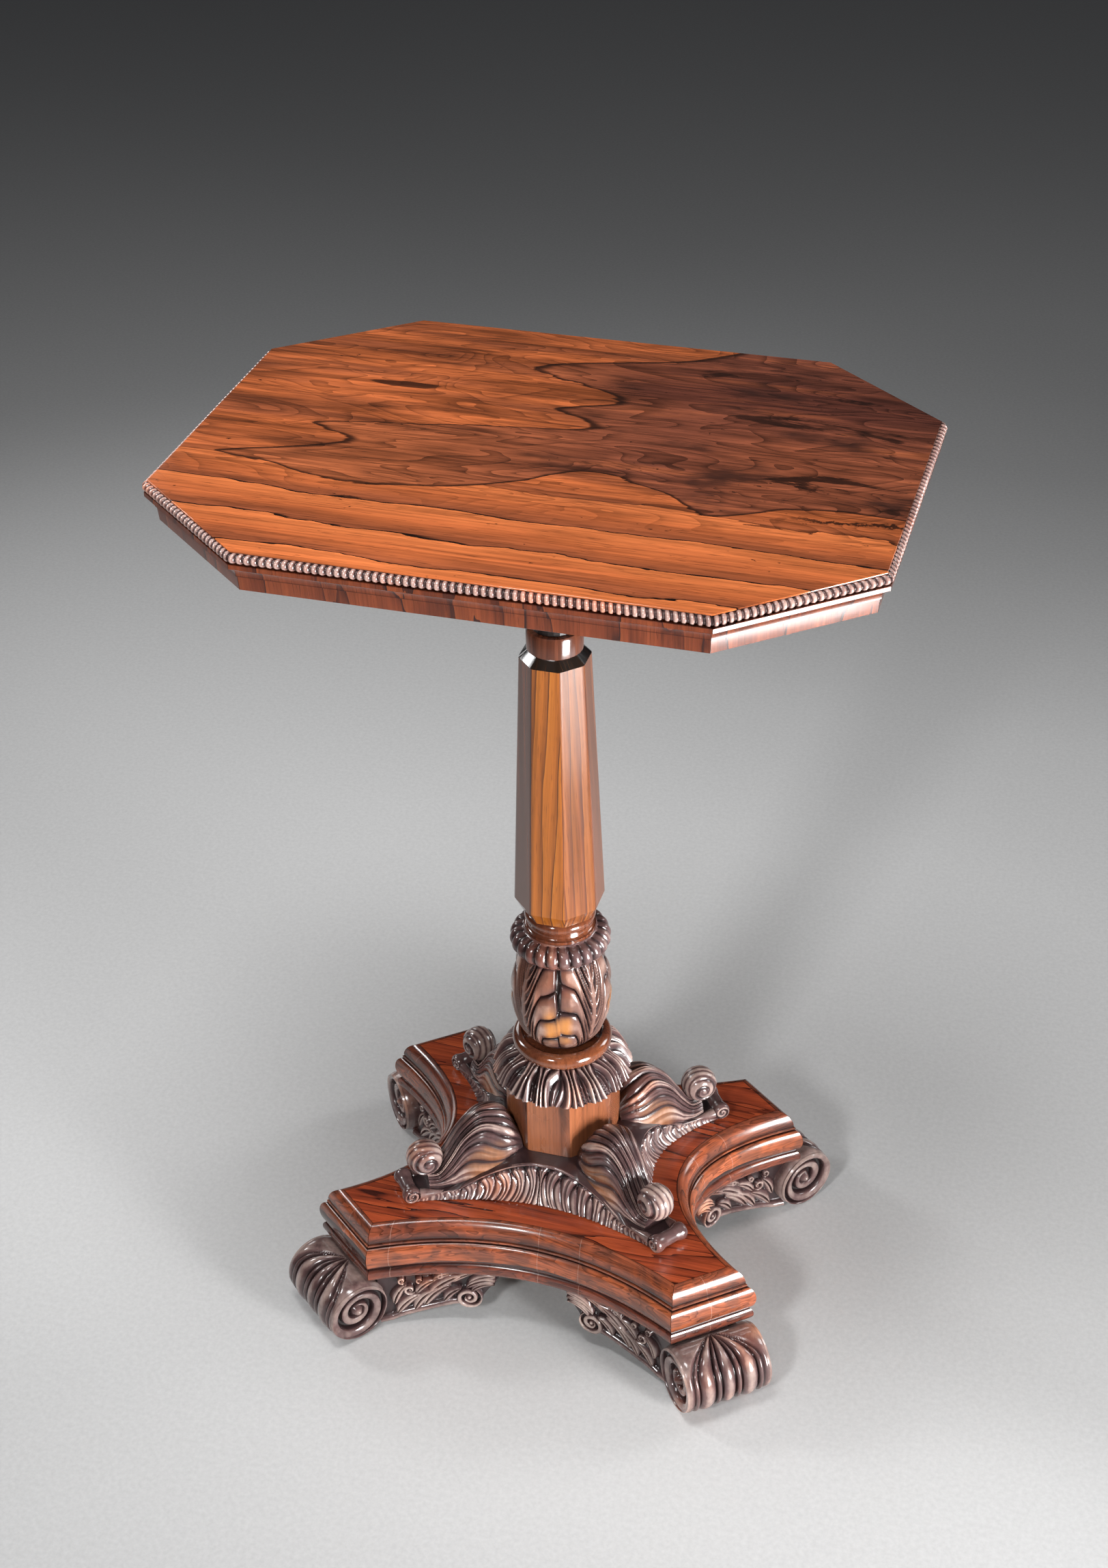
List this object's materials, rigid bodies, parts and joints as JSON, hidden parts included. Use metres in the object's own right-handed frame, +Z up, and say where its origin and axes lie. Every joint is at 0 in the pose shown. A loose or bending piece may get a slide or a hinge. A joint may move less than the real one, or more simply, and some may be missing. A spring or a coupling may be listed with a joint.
{
  "type": "wine table",
  "caption": "Small pedestal table with a cut-corner top, octagonal tapering column, carved bulb and leafwork, and a hollow-sided platform on scroll feet.",
  "frame": {"origin": "on the floor, under the middle of the top", "axes": "+Z up; X along the top's long sides; -Y towards the front"},
  "size_m": [0.495, 0.376, 0.735],
  "materials": {
    "top_rosewood": "figured rosewood veneer, French polished to a high gloss",
    "bead_rosewood": "carved bead strip, dark and polished",
    "edge_rosewood": "crossbanded rosewood moulding, polished",
    "column_rosewood": "straight grained rosewood veneer, polished",
    "turned_rosewood": "turned rosewood, polished",
    "carved_rosewood": "carved rosewood, dark in the hollows and worn brighter on the ridges",
    "plinth_rosewood": "light rosewood veneer with upright grain, polished",
    "platform_rosewood": "red brown rosewood veneer, polished",
    "moulding_rosewood": "rosewood veneered moulding, polished",
    "dark_wood": "blackened turned wood",
    "core_wood": "plain ground wood, unpolished",
    "screw_iron": "dull iron"
  },
  "bodies": {
    "root": {"bead_moulding_back": "bead_rosewood", "bead_moulding_back_left": "bead_rosewood", "bead_moulding_back_right": "bead_rosewood", "bead_moulding_front": "bead_rosewood", "bead_moulding_front_left": "bead_rosewood", "bead_moulding_front_right": "bead_rosewood", "bead_moulding_left": "bead_rosewood", "bead_moulding_right": "bead_rosewood", "block_screw_back_left": "screw_iron", "block_screw_back_right": "screw_iron", "block_screw_front_left": "screw_iron", "block_screw_front_right": "screw_iron", "bracket_back_left": "carved_rosewood", "bracket_back_right": "carved_rosewood", "bracket_front_left": "carved_rosewood", "bracket_front_right": "carved_rosewood", "carved_bulb": "carved_rosewood", "column_shaft": "column_rosewood", "disc_ring": "turned_rosewood", "edge_moulding_back": "edge_rosewood", "edge_moulding_back_left": "edge_rosewood", "edge_moulding_back_right": "edge_rosewood", "edge_moulding_front": "edge_rosewood", "edge_moulding_front_left": "edge_rosewood", "edge_moulding_front_right": "edge_rosewood", "edge_moulding_left": "edge_rosewood", "edge_moulding_right": "edge_rosewood", "end_moulding_back_left": "moulding_rosewood", "end_moulding_back_right": "moulding_rosewood", "end_moulding_front_left": "moulding_rosewood", "end_moulding_front_right": "moulding_rosewood", "foot_wing_back_left_long_side": "carved_rosewood", "foot_wing_back_left_short_side": "carved_rosewood", "foot_wing_back_right_long_side": "carved_rosewood", "foot_wing_back_right_short_side": "carved_rosewood", "foot_wing_front_left_long_side": "carved_rosewood", "foot_wing_front_left_short_side": "carved_rosewood", "foot_wing_front_right_long_side": "carved_rosewood", "foot_wing_front_right_short_side": "carved_rosewood", "gadroon_collar": "carved_rosewood", "leaf_skirt": "carved_rosewood", "leaf_tier": "carved_rosewood", "pillar_block": "core_wood", "platform_board": "core_wood", "platform_veneer": "platform_rosewood", "plinth_block": "plinth_rosewood", "ring_moulding": "turned_rosewood", "scroll_foot_back_left": "carved_rosewood", "scroll_foot_back_right": "carved_rosewood", "scroll_foot_front_left": "carved_rosewood", "scroll_foot_front_right": "carved_rosewood", "side_moulding_back": "moulding_rosewood", "side_moulding_front": "moulding_rosewood", "side_moulding_left": "moulding_rosewood", "side_moulding_right": "moulding_rosewood", "tenon_wedge": "carved_rosewood", "top_board": "core_wood", "top_spindle": "dark_wood", "top_veneer": "top_rosewood"}
  },
  "joints": []
}
